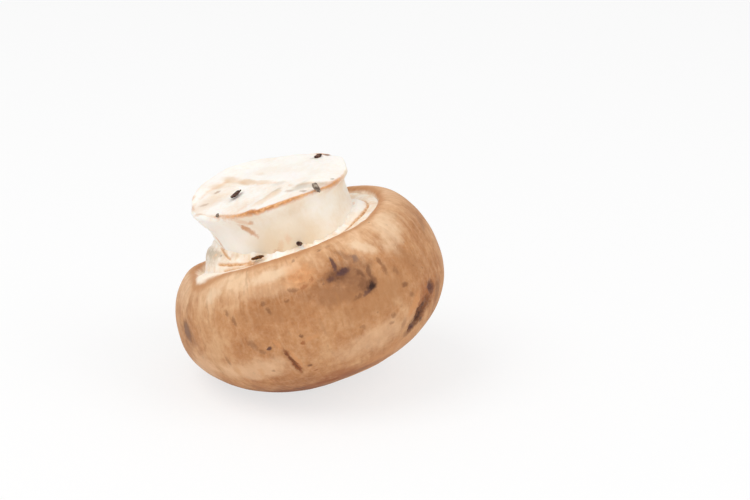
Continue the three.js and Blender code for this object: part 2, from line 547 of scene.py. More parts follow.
class Nodes:
    """The node tree of one material or world."""

    def __init__(self, name: str, world: bool = False) -> None:
        """Starts a material with its Principled shader, or a world with its Background."""
        self.owner = bpy.data.worlds.new(name) if world else bpy.data.materials.new(name)
        self.owner.use_nodes = True
        self.tree = self.owner.node_tree
        self.shader = self.tree.nodes["Background" if world else "Principled BSDF"]

    def add(self, kind: str, settings: dict | None = None, inputs: dict | None = None) -> bpy.types.Node:
        """Adds a node.

        Args:
            kind: the node's type.
            settings: its settings, set first; "stops" are a ramp's positions and colours.
            inputs: a value or link for each input, by name or number.

        Returns:
            The node.
        """
        node = self.tree.nodes.new(kind)
        for name, value in (settings or {}).items():
            if name == "stops":
                self.set_stops(node.color_ramp, value)
            else:
                setattr(node, name, value)
        for name, value in (inputs or {}).items():
            self.feed(node.inputs[name], value)
        return node

    def result(
        self, kind: str, settings: dict | None = None, inputs: dict | None = None, output: int | str = 0
    ) -> Value:
        """Adds a node as add does, and returns one of its outputs."""
        return Value(self, self.add(kind, settings, inputs).outputs[output])

    @staticmethod
    def set_stops(ramp: bpy.types.ColorRamp, stops: list[tuple[float, Colour]]) -> None:
        """Gives a colour ramp its stops."""
        while len(ramp.elements) < len(stops):
            ramp.elements.new(1.0)
        for element, (position, colour) in zip(ramp.elements, stops):
            element.position = position
            element.color = colour

    def feed(self, socket: bpy.types.NodeSocket, value: object) -> None:
        """Links a value to an input, or sets the input to a constant."""
        if isinstance(value, Value):
            self.tree.links.new(value.socket, socket)
        else:
            socket.default_value = value

    def shade(self, **inputs: object) -> None:
        """Feeds the shader's inputs; an underscore in a name stands for a space."""
        for name, value in inputs.items():
            self.feed(self.shader.inputs[name.replace("_", " ")], value)

    def seen(self) -> Value:
        """Returns 1 for what the camera sees, straight or in a reflection, and 0 for what only gives light."""
        rays = self.add("ShaderNodeLightPath")
        kinds = ("Camera", "Glossy", "Transmission")
        camera, glossy, through = (Value(self, rays.outputs[f"Is {kind} Ray"]) for kind in kinds)
        return camera | glossy | through

    def place(self) -> Value:
        """Returns the Object coordinates."""
        return self.result("ShaderNodeTexCoord", output="Object")

    def attribute(self, name: str) -> Value:
        """Returns a vector attribute of the mesh."""
        return self.result("ShaderNodeAttribute", {"attribute_name": name}, output="Vector")

    def mapped(self, vector: Value, scale: tuple, location: tuple = (0, 0, 0), kind: str = "POINT",
               rotation: tuple = (0, 0, 0)) -> Value:
        """Returns a vector moved, turned and scaled by a Mapping node."""
        inputs = {"Vector": vector, "Location": location, "Rotation": rotation, "Scale": scale}
        return self.result("ShaderNodeMapping", {"vector_type": kind}, inputs)

    def parts(self, vector: Value) -> list[Value]:
        """Returns the three numbers of a vector."""
        node = self.add("ShaderNodeSeparateXYZ", inputs={0: vector})
        return [Value(self, output) for output in node.outputs]

    def cloud(self, vector: Value, scale: float, detail: float = 2.0, rough: float = 0.5) -> Value:
        """Returns smooth noise around 0.5."""
        inputs = {"Vector": vector, "Scale": scale, "Detail": detail, "Roughness": rough}
        return self.result("ShaderNodeTexNoise", inputs=inputs, output="Fac")

    def pushed(self, vector: Value, place: Value, scale: float, reach: float) -> Value:
        """Returns a vector pushed about by noise, so that what is read from it is crooked.

        Args:
            vector: the coordinates.
            place: the coordinates of the noise.
            scale: the noise's lumps per metre.
            reach: how far it pushes at most.
        """
        inputs = {"Vector": place, "Scale": scale, "Detail": 3.0, "Roughness": 0.6}
        push = self.result("ShaderNodeTexNoise", inputs=inputs, output="Color")
        middle = self.result("ShaderNodeVectorMath", {"operation": "SUBTRACT"}, {0: push, 1: (0.5, 0.5, 0.5)})
        inputs = {0: middle, 1: (2 * reach,) * 3, 2: vector}
        return self.result("ShaderNodeVectorMath", {"operation": "MULTIPLY_ADD"}, inputs)

    def specks(self, vector: Value, scale: float, size: float, share: float) -> Value:
        """Returns a mask of scattered specks.

        Args:
            vector: the coordinates.
            scale: cells per metre.
            size: a speck's radius, as a share of a cell.
            share: how many cells have one.
        """
        node = self.add("ShaderNodeTexVoronoi", inputs={"Vector": vector, "Scale": scale})
        chosen = self.result("ShaderNodeSeparateColor", inputs={0: Value(self, node.outputs["Color"])})
        lucky = chosen.over(share, share * 0.9)
        return Value(self, node.outputs["Distance"]).over(size, size * 0.5) * lucky

    def blend(self, mask: "Value | float", first: object, second: object) -> Value:
        """Returns first where the mask is 0 and second where it is 1."""
        return self.result("ShaderNodeMix", {"data_type": "RGBA"}, {0: mask, 6: first, 7: second}, 2)

    def ramp(self, value: Value, *stops: tuple[float, str]) -> Value:
        """Returns colours along a value, from positions and sRGB codes."""
        settings = {"stops": [(position, tone(code)) for position, code in stops]}
        return self.result("ShaderNodeValToRGB", settings, {0: value})

    def tinted(self, colour: Value, marks: Marks, lie: Lie, vector: Value, fine: Value, wide: Value) -> Value:
        """Lays the colours of marks over a colour.

        Args:
            colour: the colour under them.
            marks: the marks, in order.
            lie: how the mushroom lies.
            vector: the coordinates that they are read from.
            fine: moves the edges of small marks in and out, as a share of their size.
            wide: does the same for broad ones.

        Returns:
            The colour with the marks.
        """
        for mark, frame in zip(marks.marks, marks.frames):
            spot, turn, _ = (lie.down @ frame).decompose()
            size = (mark.length * MM, mark.width * MM, MARK_DEPTH[mark.spot] * MM)
            local = self.mapped(vector, size, tuple(spot), "TEXTURE", tuple(turn.to_euler()))
            ball = self.result("ShaderNodeTexGradient", {"gradient_type": "SPHERICAL"}, {0: local}, "Fac")
            rag = wide if mark.length * mark.width > BROAD_MARK else fine
            inputs = {"Value": ball + rag, "From Min": 0.5 - mark.soft / 5,
                      "From Max": 0.5 + mark.soft * 0.3, "To Min": 0.0, "To Max": mark.strength}
            mask = self.result("ShaderNodeMapRange", {"interpolation_type": "SMOOTHSTEP"}, inputs)
            colour = self.blend(mask, colour, tone(mark.tint.value))
        return colour

    def bumped(self, height: Value, strength: float, distance: float) -> Value:
        """Returns a normal from a height, with distance in metres."""
        inputs = {"Height": height, "Strength": strength, "Distance": distance}
        return self.result("ShaderNodeBump", inputs=inputs)


# --- Finishes ---


MOIST = {"Subsurface_Weight": 0.25, "Subsurface_Radius": (1.0, 0.7, 0.5), "Specular_IOR_Level": 0.3}


@dataclass(frozen=True)
class CapSkin:
    """Tan skin: softly mottled, with faint fibres from the crown to the margin, and a pale lip there. It is paler
    towards the margin, partly with painted sheen, and darker towards the crown, partly with painted shade; some broad
    marks are painted sheen and shade.
    """

    fibres_around: float = 30.0
    fibre_stretch: float = 0.22
    lip_from: float = 47.9

    def material(self, marks: Marks, lie: Lie) -> bpy.types.Material:
        """Builds the material.

        Args:
            marks: the marks on the cap.
            lie: how the mushroom lies.

        Returns:
            The material.
        """
        nodes = Nodes("cap_skin")
        place = nodes.place()
        grain = nodes.pushed(nodes.attribute("grain"), place, 260.0, 0.03)
        around = self.fibres_around
        fibres = nodes.cloud(nodes.mapped(grain, (around, around, self.fibre_stretch)), 1.0, 3.0, 0.6)
        bands = nodes.cloud(nodes.mapped(grain, (around / 5, around / 5, self.fibre_stretch / 2)), 1.0, 2.0)
        broad = nodes.cloud(place, 95.0, 2.0)
        mottle = nodes.cloud(place, 330.0, 3.0, 0.6)
        patchy = nodes.cloud(nodes.pushed(place, place, 500.0, 0.8 * MM), 750.0, 2.0, 0.55)
        dust = nodes.cloud(place, 1900.0, 3.0, 0.65)
        arc = nodes.parts(grain)[2] + (bands - 0.5) * 5
        shade = broad * 0.45 + mottle * 0.2 + bands * 0.25 + patchy * 0.1
        colour = nodes.ramp(shade, (0.38, "#AB7347"), (0.46, "#B98053"), (0.54, "#C58E60"), (0.62, "#D1A074"))
        # Paler towards the margin: partly the skin's own paler tissue, partly a painted sheen where the shoulder faces
        # the lamps.
        high = nodes.ramp(shade, (0.38, "#CB976A"), (0.5, "#DDAF86"), (0.6, "#EDC8A2"))
        colour = nodes.blend(arc.over(39, 45) * 0.9, colour, high)
        # Darker and more saturated towards the crown: partly the crown's own colour, partly painted warm shade on the
        # side that faces the floor.
        low = nodes.ramp(shade, (0.38, "#A0683E"), (0.5, "#B98256"), (0.6, "#CE9E72"))
        colour = nodes.blend(arc.over(30, 18) * 0.7, colour, low)
        shown = arc.over(36, 44) * 0.16 + 0.08
        colour = nodes.blend(fibres.over(0.48, 0.68) * shown, colour, tone("#F2D3B0"))
        colour = nodes.blend(fibres.over(0.5, 0.3) * (bands.over(0.4, 0.6) * 0.2 + 0.08), colour, tone("#8A5532"))
        colour = nodes.blend(patchy.over(0.48, 0.72) * 0.14, colour, tone("#EBC39A"))
        colour = nodes.blend(patchy.over(0.5, 0.26) * 0.14, colour, tone("#96603A"))
        colour = nodes.blend(dust.over(0.35, 0.75) * 0.1, colour, tone("#F3D5B2"))
        torn = nodes.pushed(nodes.pushed(place, place, 650.0, 0.5 * MM), place, 2600.0, 0.16 * MM)
        freckles = nodes.specks(torn, 300.0, 0.17, 0.2)
        colour = nodes.blend(freckles * 0.3, colour, tone("#8A5733"))
        pores = nodes.specks(torn, 640.0, 0.2, 0.05)
        colour = nodes.blend(pores * 0.45, colour, tone("#5E3C28"))
        fine = (nodes.cloud(place, 1300.0, 3.0, 0.65) - 0.5) * 0.7
        wide = (nodes.cloud(place, 420.0, 3.0, 0.6) - 0.5) * 0.8
        colour = nodes.tinted(colour, marks, lie, torn, fine, wide)
        lip = nodes.parts(grain)[2] + (mottle - 0.5) * 1.8 + nodes.parts(nodes.attribute("lip"))[0]
        edge = lip.over(self.lip_from - 2.6, self.lip_from - 1.0) * lip.over(self.lip_from + 0.4, self.lip_from - 0.4)
        colour = nodes.blend(edge * 0.75, colour, tone("#BC8151"))
        colour = nodes.blend(lip.over(self.lip_from - 0.8, self.lip_from + 0.8), colour, tone("#FDF0DF"))
        nodes.shade(
            Base_Color=colour,
            Roughness=mottle * 0.24 + 0.48,
            Normal=nodes.bumped(fibres * 0.25 + patchy * 0.35 + dust * 0.2, 0.25, 0.2 * MM),
            Subsurface_Weight=0.06,
            Subsurface_Radius=(1.0, 0.5, 0.3),
            Subsurface_Scale=0.8 * MM,
            Specular_IOR_Level=0.15,
        )
        return nodes.owner


@dataclass(frozen=True)
class StemFlesh:
    """Cream flesh: faint fibres down the side, whiter where it is cut, rusty along the cut's front edge. The side has a
    painted highlight on its left and painted shade towards the foot at the front and back, and the tan along the cut's
    step is partly painted shade.
    """

    def material(self, marks: Marks, lie: Lie) -> bpy.types.Material:
        """Builds the material.

        Args:
            marks: the marks on the stem.
            lie: how the mushroom lies.

        Returns:
            The material.
        """
        nodes = Nodes("stem_flesh")
        place = nodes.place()
        cos, sin, along = nodes.parts(nodes.attribute("grain"))
        rim, sliced, upper = nodes.parts(nodes.attribute("cut"))
        fibres = nodes.cloud(nodes.mapped(nodes.attribute("grain"), (30.0, 30.0, 0.25)), 1.0, 3.0, 0.6)
        soft = nodes.cloud(place, 190.0, 3.0)
        fine = nodes.cloud(place, 1300.0, 4.0, 0.65)
        shade = soft * 0.7 + fibres * 0.1 + fine * 0.2
        side = nodes.ramp(shade, (0.36, "#EFE0CA"), (0.5, "#F6ECDD"), (0.64, "#FBF5EC"))
        # Painted shade: the front and back of the stem are painted darker beige towards its foot by the cap.
        foot = along.over(2.5, 8.5) * cos.over(-0.7, -0.2) * cos.over(0.75, 0.3)
        side = nodes.blend(foot * 0.65, side, tone("#E2CBAB"))
        # Painted light: the left side of the stem, which faces the key lamp, is painted whiter.
        side = nodes.blend(cos.over(-0.25, -0.65) * 0.6, side, tone("#FEFCF9"))
        near = nodes.ramp(soft * 0.6 + fine * 0.4, (0.36, "#F5E2CD"), (0.48, "#FBEFE2"), (0.58, "#FEF8F0"))
        far = nodes.ramp(soft * 0.6 + fine * 0.4, (0.38, "#FAEFE3"), (0.55, "#FEF8F1"))
        cut = nodes.blend(upper.over(0.3, 0.7), near, far)
        # Tan along the step between the strokes and beside the rim below it: partly a smear, partly painted shade on
        # the step.
        cut = nodes.blend((sliced + (fine - 0.5) * 0.9).over(0.25, 0.85) * 0.75, cut, tone("#E3BC97"))
        colour = nodes.blend(along.over(-0.15, 0.1), cut, side)
        rust = nodes.ramp(fine, (0.36, "#BC7A46"), (0.5, "#D59760"), (0.64, "#E9B98B"))
        colour = nodes.blend((rim + (fine - 0.5) * 0.9).over(0.1, 0.8), colour, rust)
        torn = nodes.pushed(place, place, 1200.0, 0.3 * MM)
        rag = (nodes.cloud(place, 2000.0, 3.0, 0.65) - 0.5) * 0.8
        colour = nodes.tinted(colour, marks, lie, torn, rag, (soft - 0.5) * 0.9)
        nodes.shade(
            Base_Color=colour,
            Roughness=soft * 0.24 + 0.45,
            Normal=nodes.bumped(fibres * 0.15 + soft * 0.35 + fine * 0.5, 0.3, 0.2 * MM),
            Subsurface_Scale=1.2 * MM,
            **MOIST,
        )
        return nodes.owner


@dataclass(frozen=True)
class Membrane:
    """Cream tissue, stringy and torn: tan where it has dried, and greyish where it is sheer, which is painted shade of
    the hollow behind it showing through.
    """

    def material(self) -> bpy.types.Material:
        """Builds and returns the material."""
        nodes = Nodes("veil_membrane")
        place = nodes.place()
        grain = nodes.attribute("grain")
        dry, thin_shade, white = nodes.parts(nodes.attribute("tissue"))
        strings = nodes.cloud(nodes.mapped(grain, (16.0, 16.0, 0.4)), 1.0, 3.0, 0.6)
        soft = nodes.cloud(place, 420.0, 3.0)
        fine = nodes.cloud(place, 1800.0, 3.0, 0.65)
        mix = strings * 0.2 + soft * 0.5 + fine * 0.3
        colour = nodes.ramp(mix, (0.36, "#EBD2B4"), (0.46, "#F6E3CD"), (0.58, "#FCF2E6"))
        colour = nodes.blend(white, colour, tone("#FFFAF3"))
        # Greyish where the tissue is sheer: painted shade of the hollow under the tent, seen through it.
        colour = nodes.blend(thin_shade * (mix.over(0.6, 0.42) * 0.6 + 0.3), colour, tone("#BFB29E"))
        dried = nodes.ramp(fine, (0.36, "#C48B5C"), (0.5, "#DFAE80"), (0.64, "#EDCBA5"))
        colour = nodes.blend((dry + (fine - 0.5) * 0.9).over(0.25, 0.8), colour, dried)
        specks = nodes.specks(nodes.pushed(place, place, 1500.0, 0.2 * MM), 700.0, 0.2, 0.1)
        colour = nodes.blend(specks * (thin_shade * 0.6 + 0.25), colour, tone("#7A6350"))
        nodes.shade(
            Base_Color=colour,
            Roughness=0.65,
            Normal=nodes.bumped(strings * 0.2 + soft * 0.3 + fine * 0.5, 0.4, 0.25 * MM),
            Subsurface_Scale=0.9 * MM,
            **MOIST,
        )
        return nodes.owner


@dataclass(frozen=True)
class Peat:
    """Crumbly casing soil, from its darkest grains to its palest."""

    name: str
    dark: str
    middle: str
    pale: str

    def material(self) -> bpy.types.Material:
        """Builds and returns the material."""
        nodes = Nodes(self.name)
        grit = nodes.cloud(nodes.place(), 2200.0, 3.0, 0.6)
        colour = nodes.ramp(grit, (0.38, self.dark), (0.5, self.middle), (0.64, self.pale))
        nodes.shade(Base_Color=colour, Roughness=0.9, Specular_IOR_Level=0.2, Normal=nodes.bumped(grit, 0.6, 0.15 * MM))
        return nodes.owner


# --- The mushroom ---


@dataclass(frozen=True)
class Swell:
    """A broad lump or hollow in the cap's side: its azimuth and height, their spreads, and how far it stands out."""

    azimuth: float
    height: float
    wide: float
    tall: float
    amount: float

    def at(self, point: Vector) -> float:
        """Returns how far it moves a point outwards, in mm."""
        tall = hump(point.z, self.height, self.tall)
        return self.amount * tall * swelling(azimuth_of(point), self.azimuth, self.wide)


CAP_SWELLS = [
    Swell(-45, -11, 26, 4.5, 0.5),
    Swell(45, 5, 30, 6, -0.3),
    Swell(-58, 8, 16, 2.2, -0.25),
    Swell(-100, 9, 14, 2.0, 0.15),
    Swell(120, 3, 25, 6, -0.3),
    Swell(165, -6, 25, 5, 0.3),
    Swell(75, -4, 18, 4, -0.25),
    Swell(15, 8.5, 32, 3.5, -0.3),
]

CAP_MARKS = marks_from(
    Spot.SIDE,
    # Broad paler and darker areas of the skin, partly painted light: the pale ones near the margin are painted sheen,
    # the sandy ones lower down partly painted light from the floor, the tan and bruise-brown band round the middle
    # partly painted shade, and the russet and rust bands near the crown partly painted shade where it meets the floor
    (PALE, (-95, 10.7), 11, 2.4, -3, 0.7),
    (PALE, (-127, 10.0), 4.5, 2.4, 40, 0.55),
    (PALE, (-52, 9.2), 5.4, 1.9, -46, 0.7),
    (SAND, (-97, 8.6), 11, 3.0, -5, 0.25),
    (PALE, (-33, 9.2), 10, 5.4, 50, 0.5),
    (SAND, (-63, -7.0), 16, 5.6, 5, 0.4),
    (SAND, (-119, -4.8), 18, 5.0, -4, 0.55),
    (SAND, (-152, -4.0), 11, 7.5, 30, 0.5),
    (TAN, (-97, 4.6), 20, 3.6, -9, 0.4),
    (TAN, (-60, 0.8), 21, 8.0, -4, 0.6),
    (BRUISE, (-74, 4.4), 9.0, 4.2, -20, 0.5),
    (TAN, (-52, 3.0), 15, 6.0, -10, 0.3),
    (TAN, (-34, 2.6), 9.0, 3.6, -40, 0.4),
    (TAN, (-35, 4.7), 3.4, 1.4, -74, 0.6),
    (RUSSET, (-112, -12.9), 20, 4.2, 0, 0.7),
    (RUSSET, (-75, -12.8), 15, 4.8, 0, 0.7),
    (RUST, (-45, -10.5), 12, 4.0, 10, 0.4),
    (UMBER, (-110, -12.3), 2.8, 1.4, 0, 0.5, 0.9),
    (RUST, (-60, -11.6), 14, 3.0, 6, 0.6),
    (RUSSET, (-82, -11.2), 9.0, 3.4, -10, 0.5),
    (BRUISE, (-106, -14.2), 24, 3.0, 0, 0.6),
    (RUSSET, (-112, -13.6), 28, 3.6, 0, 0.4),
    (UMBER, (-84, 11.6), 0.9, 0.6, 0, 0.5, 0.9),
    (UMBER, (-70, 11.4), 0.9, 0.6, 0, 0.5, 0.9),
    # Scab beside the dark bruise
    (BUFF, (-84.0, 9.3), 6.0, 4.4, -4, 0.65, 1.0, 0.1, 0.25),
    (RUST, (-82.6, 8.9), 4.4, 3.0, 0, 0.75, 1.0, 0.08, 0.3),
    (RUST, (-80.0, 10.2), 1.6, 1.0, 30, 0.6),
    (RUST, (-87.2, 9.4), 1.3, 0.9, 20, 0.6),
    (BUFF, (-81.5, 9.4), 1.6, 0.9, -20, 0.7),
    (BUFF, (-85.4, 8.4), 1.2, 0.7, 30, 0.7),
    (RUSSET, (-83.4, 7.3), 1.9, 0.6, 10, 0.55),
    (RUSSET, (-79.6, 7.9), 1.2, 0.6, 40, 0.5),
    (BRUISE, (-88.1, 7.5), 1.9, 0.7, -20, 0.7),
    # Dark bruise at the front
    (BRUISE, (-64.4, 6.4), 9.0, 4.6, -8, 0.75, 1.0, -0.15, 0.15),
    (BRUISE, (-59.8, 3.8), 5.6, 3.4, -7, 0.6),
    (UMBER, (-69.0, 6.8), 5.2, 2.2, -3, 0.7, 1.0, -0.05, 0.15),
    (PEAT, (-71.8, 6.7), 1.6, 1.0, 6, 0.5),
    (PEAT, (-67.8, 8.8), 2.8, 0.8, 84, 0.8, 0.9, -0.1),
    (PEAT, (-65.4, 7.0), 2.8, 1.1, 4, 0.85, 0.9, -0.1),
    (BRUISE, (-61.1, 9.1), 4.3, 1.1, -53, 0.55),
    (GREY, (-57.7, 8.0), 1.6, 1.1, -55, 0.8),
    (UMBER, (-59.0, 5.4), 2.4, 0.9, -67, 0.6),
    (UMBER, (-60.4, 3.9), 2.6, 0.9, 50, 0.45),
    (UMBER, (-55.2, 5.0), 2.4, 0.9, 72, 0.65, 0.9),
    (UMBER, (-57.2, 2.9), 3.2, 2.4, 20, 0.75),
    (SOOT, (-56.8, 2.4), 1.9, 1.0, -4, 0.9, 1.0, -0.12, 0.2),
    (SOOT, (-56.5, 3.0), 0.9, 0.8, 80, 0.7),
    (PEAT, (-60.4, 1.9), 1.8, 0.7, 14, 0.65),
    (UMBER, (-64.4, 2.0), 2.0, 0.7, 8, 0.55),
    (UMBER, (-48.3, 5.6), 1.4, 0.7, 85, 0.5, 0.9),
    (BRUISE, (-48.1, 4.2), 2.6, 0.9, 92, 0.7),
    (BRUISE, (-43.3, 2.6), 1.5, 1.0, -80, 0.5),
    (UMBER, (-41.9, -0.4), 1.6, 1.0, -19, 0.6, 0.9),
    (BRUISE, (-40.2, -2.7), 1.4, 1.0, -50, 0.6),
    (BRUISE, (-51.7, -4.3), 1.2, 1.0, 0, 0.6),
    (BRUISE, (-66.5, -3.5), 0.9, 0.8, 0, 0.5, 0.9),
    (BRUISE, (-53.2, -5.5), 1.0, 0.7, -20, 0.5, 0.9),
    (TAN, (-72.5, 3.4), 2.4, 0.6, 89, 0.6, 0.9),
    (TAN, (-70.9, 0.3), 3.4, 0.7, 99, 0.5),
    (BRUISE, (-47.0, -7.0), 2.4, 1.2, 70, 0.4),
    # Scraped right-hand side
    (RUSSET, (-31.0, -5.4), 9.0, 5.6, 45, 0.65, 1.0, -0.1, 0.2),
    (BRUISE, (-20.0, -6.0), 5.0, 2.4, 80, 0.6),
    (PEAT, (-26.2, -4.0), 2.9, 2.2, 84, 0.8, 1.0, -0.15, 0.1),
    (UMBER, (-30.7, -6.1), 3.4, 3.4, 22, 0.65, 1.0, -0.15, 0.1),
    (UMBER, (-36.0, -7.1), 3.4, 3.2, 30, 0.9, 0.8, -0.25, 0.2),
    (SOOT, (-36.6, -7.6), 2.4, 1.1, 40, 0.6, 0.8, -0.15, 0.2),
    (SOOT, (-33.4, -6.0), 1.2, 0.9, 10, 0.5, 0.8),
    (SOOT, (-39.0, -7.3), 1.3, 1.0, 60, 0.55, 0.8),
    (SOOT, (-34.6, -8.4), 1.2, 0.9, 30, 0.5, 0.8),
    (UMBER, (-40.4, -8.4), 3.2, 2.6, 42, 0.9, 0.8, -0.2, 0.2),
    (PEAT, (-42.0, -8.8), 1.8, 1.4, 10, 0.7, 0.9, -0.1, 0.1),
    (BRUISE, (-44.4, -9.2), 2.0, 1.8, 10, 0.6),
    (RUST, (-39.2, -4.8), 5.2, 1.8, 40, 0.8, 0.9, 0.16, 0.15),
    (BRUISE, (-8, 5.6), 4.2, 2.6, 40, 0.5),
    # Left-hand side
    (BRUISE, (-152, 3.4), 5.4, 5.2, 68, 0.6, 1.0, -0.1),
    (UMBER, (-153, 3.6), 3.8, 3.8, 68, 0.55),
    (GREY, (-153, 3.4), 3.4, 3.0, 68, 0.5),
    (TAN, (-148, 8.0), 3.4, 1.2, 60, 0.6),
    # Scratch with the skin turned up beside it
    (RUST, (-101.8, -0.9), 2.8, 0.8, 112, 0.7, 1.0, 0.1),
    (BRUISE, (-99.8, -4.7), 7.0, 1.5, 97, 0.5),
    (RUSSET, (-99.6, -4.8), 6.4, 1.0, 97, 0.9, 0.7, -0.12),
    (UMBER, (-99.6, -4.9), 5.6, 0.6, 97, 0.7, 0.8),
    (RUST, (-97.5, -4.5), 4.6, 0.9, 98, 0.85, 0.8, 0.25, 0.2),
    # Specks
    (UMBER, (-102, 6.9), 0.9, 0.8, 20, 0.5),
    (UMBER, (-100.5, 5.4), 1.3, 0.8, 95, 0.5),
    (UMBER, (-92, 6.1), 0.8, 0.7, 0, 0.5),
    (PEAT, (-106, -1.0), 0.9, 0.8, 0, 0.85, 0.8),
    (BRUISE, (-117.5, 5.0), 1.9, 0.9, 97, 0.7),
    (BRUISE, (-120, 6.8), 1.2, 0.8, 90, 0.6),
    (UMBER, (-91.6, -0.4), 0.8, 0.7, 0, 0.65, 0.9),
    (RUSSET, (-91.9, -1.8), 0.9, 0.7, 30, 0.75, 0.8),
    (RUST, (-88, -1.4), 2.6, 0.9, 0, 0.6),
    (UMBER, (-94, -6.6), 0.9, 0.7, 0, 0.7, 0.9),
    (RUSSET, (-92.5, -8.1), 0.9, 0.6, 0, 0.7, 0.8),
    (BRUISE, (-112.5, 0.4), 2.8, 1.2, -55, 0.6),
    (BRUISE, (-109.5, -1.3), 1.4, 0.9, -30, 0.55),
    (BRUISE, (-110, -5.7), 0.8, 0.6, 0, 0.5, 0.9),
    (RUST, (-127, -4.3), 2.6, 1.3, 80, 0.45),
    (RUST, (-116, -5.5), 2.2, 1.2, 60, 0.4),
    (BRUISE, (-128, -1.9), 1.8, 0.7, 92, 0.45),
    # Sides turned away
    (UMBER, (62, 4.5), 5.5, 2.2, 20, 0.7, 0.9, -0.1, 0.15),
    (PEAT, (66, 5.2), 2.2, 1.0, 35, 0.9, 0.7, -0.1),
    (RUST, (58, 6.8), 3.0, 2.0, 0, 0.7, 0.8, 0.1, 0.2),
    (GREY, (118, -1.5), 4.6, 2.4, 70, 0.7, 0.9, -0.1),
    (UMBER, (140, 5.5), 4.2, 0.7, 80, 0.85, 0.6, -0.35),
    (RUST, (142.5, 5.5), 3.0, 0.8, 80, 0.8, 0.7, 0.25, 0.15),
    (BRUISE, (168, -5.0), 5.0, 2.6, 10, 0.6),
    (PEAT, (96, 7.5), 1.0, 0.8, 0, 0.9, 0.7),
    (UMBER, (102, 2.0), 1.2, 0.7, 60, 0.8, 0.8),
    (BRUISE, (25, -7.5), 4.5, 2.4, 40, 0.6),
    (UMBER, (20, 1.0), 1.2, 0.9, 0, 0.8, 0.8),
    (TAN, (80, -9.0), 9.0, 4.0, 0, 0.5),
    (TAN, (150, 0.0), 12, 5.0, 10, 0.4),
)


@dataclass
class Cap:
    """The cap: skin from the crown up to the margin, and a plain socket for the stem inside."""

    lie: Lie
    growth: Growth
    segments: int = 320
    socket_radius: float = 13.75
    socket_floor: float = 3.4
    pressed_softness: float = 0.35
    lump: float = 0.2
    swells: list[Swell] = field(default_factory=lambda: CAP_SWELLS)
    marks: list[Mark] = field(default_factory=lambda: CAP_MARKS)
    ways: list[float] = field(init=False)
    corners: KDTree = field(init=False)

    def outline(self) -> Outline:
        """Returns the cap's section, from the crown out to the margin and in to the socket's floor."""
        growth = self.growth
        turns = [math.pi / 2 * step / 64 for step in range(65)]
        crown = [(growth.cap_radius * math.sin(turn), -growth.crown_depth * math.cos(turn)) for turn in turns]
        (radius, height), slope, margin = growth.shoulder, growth.shoulder_slope, growth.margin
        into, out = (radius + 3, height - 3 * slope), (radius - 1.3, height + 1.3 * slope)
        side = bezier([(growth.cap_radius, 0), (growth.cap_radius, growth.upright_side), into, growth.shoulder], 26)
        lip = bezier([growth.shoulder, out, (margin[0] + 0.6, margin[1] + 0.9), margin], 14)
        tuck = straight(margin, (margin[0] - 0.3, growth.groove_floor), 3)
        floor = straight(tuck[-1], (self.socket_radius, growth.groove_floor), 3)
        wall = straight(floor[-1], (self.socket_radius, self.socket_floor), 3)
        return crown + side + lip + tuck + floor + wall + straight(wall[-1], (0, self.socket_floor), 4)

    def grain(self, point: Vector) -> Vector:
        """Returns the direction round the cap, and the way in mm along its section from the crown."""
        azimuth = azimuth_of(point)
        _, corner, _ = self.corners.find((point.to_2d().length, 0, point.z))
        return Vector((math.cos(azimuth), math.sin(azimuth), self.ways[corner]))

    def lip(self, point: Vector) -> Vector:
        """Returns how much wider than usual the pale lip is, as a vector along X."""
        around = point.to_2d().normalized().to_3d()
        azimuth = azimuth_of(point)
        wide = 2.7 * swelling(azimuth, -141, 11) + 0.4 * wander(around * 17, 5, 8)
        wide -= swellings(azimuth, (175, 25, 1.2), (2, 30, 0.8), (50, 30, 0.7))
        return Vector((wide, 0, 0))

    def shaped(self, point: Vector, normal: Vector) -> Vector:
        """Returns a point of the grown cap with its lumps, hollows and uneven margin."""
        lumps = self.lump * wander(point, 9, 1) + 0.3 * self.lump * wander(point, 3.2, 2)
        lumps += sum(swell.at(point) for swell in self.swells)
        radius = math.hypot(point.x, point.y)
        azimuth = azimuth_of(point)
        margin = ease(radius, 19.5, 17.6) * ease(point.z, 9, 10)
        ragged = 0.18 * wander(point, 2.4, 3) + 0.1 * wander(point, 0.9, 4)
        rise = 0.9 * swelling(azimuth, 172, 20) * ease(radius, 22, 18.5) * ease(point.z, 6.5, 9.5)
        flap = 0.3 * swelling(azimuth, -141, 10)
        lumps += flap * ease(radius, 20.4, 19.6) * ease(radius, 17.2, 18) * ease(point.z, 9, 10)
        return point + normal * lumps + AXIS * (margin * ragged + rise)

    def pressed(self, point: Vector, normal: Vector) -> Vector:
        """Returns where a point of the leaning cap is after the surface below has pressed its crown flat."""
        world = self.lie.down @ point
        height, soft = world.z / MM, self.pressed_softness
        if height < soft:
            world.z = max(0, height + soft) ** 2 / (4 * soft) * MM
        return self.lie.up @ world

    def build(self) -> None:
        """Models, marks and dresses the cap."""
        outline = self.outline()
        piece = spun("cap_skin", outline, self.segments)
        self.ways = list(accumulate(map(math.dist, outline, outline[1:]), initial=0.0))
        self.corners = KDTree(len(outline))
        for corner, (radius, height) in enumerate(outline):
            self.corners.insert((radius, 0, height), corner)
        self.corners.balance()
        marked(piece, "grain", self.grain)
        marked(piece, "lip", self.lip)
        moved(piece, lambda point, normal: self.growth.grown(point))
        marks = Marks(self.marks, surface_of(piece))
        for reach in (1.5, 1.2):
            refined(piece, lambda middle: marks.near(middle, reach))
        for change in (self.shaped, marks.worn, self.pressed):
            moved(piece, change)
        set_down(piece, self.lie, CapSkin().material(marks, self.lie), "cap_skin", "cap")


